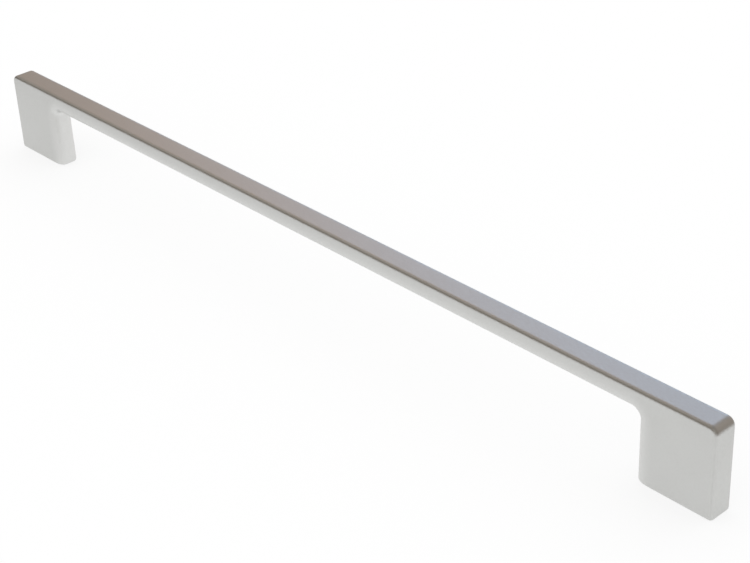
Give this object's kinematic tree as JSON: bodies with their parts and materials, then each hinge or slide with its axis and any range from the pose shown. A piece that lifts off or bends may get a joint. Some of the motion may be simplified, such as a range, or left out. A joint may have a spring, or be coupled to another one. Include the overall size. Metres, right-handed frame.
{
  "type": "furniture handle",
  "caption": "Slim U-shaped cast bar handle: a straight bar on flat legs, softly rounded round the finger gap, with blind screw holes in its feet, for pulling a drawer or door.",
  "frame": {"origin": "on the mounting plane under the feet, midway between the screw holes and midway through the thickness", "axes": "+X along the bar, +Y from the front face to the back face, +Z from the feet up to the bar, away from the furniture"},
  "size_m": [0.3476, 0.0086, 0.0315],
  "materials": {
    "casting": "satin nickel plating on a zinc casting"
  },
  "bodies": {
    "root": {"handle": "casting"}
  },
  "joints": []
}
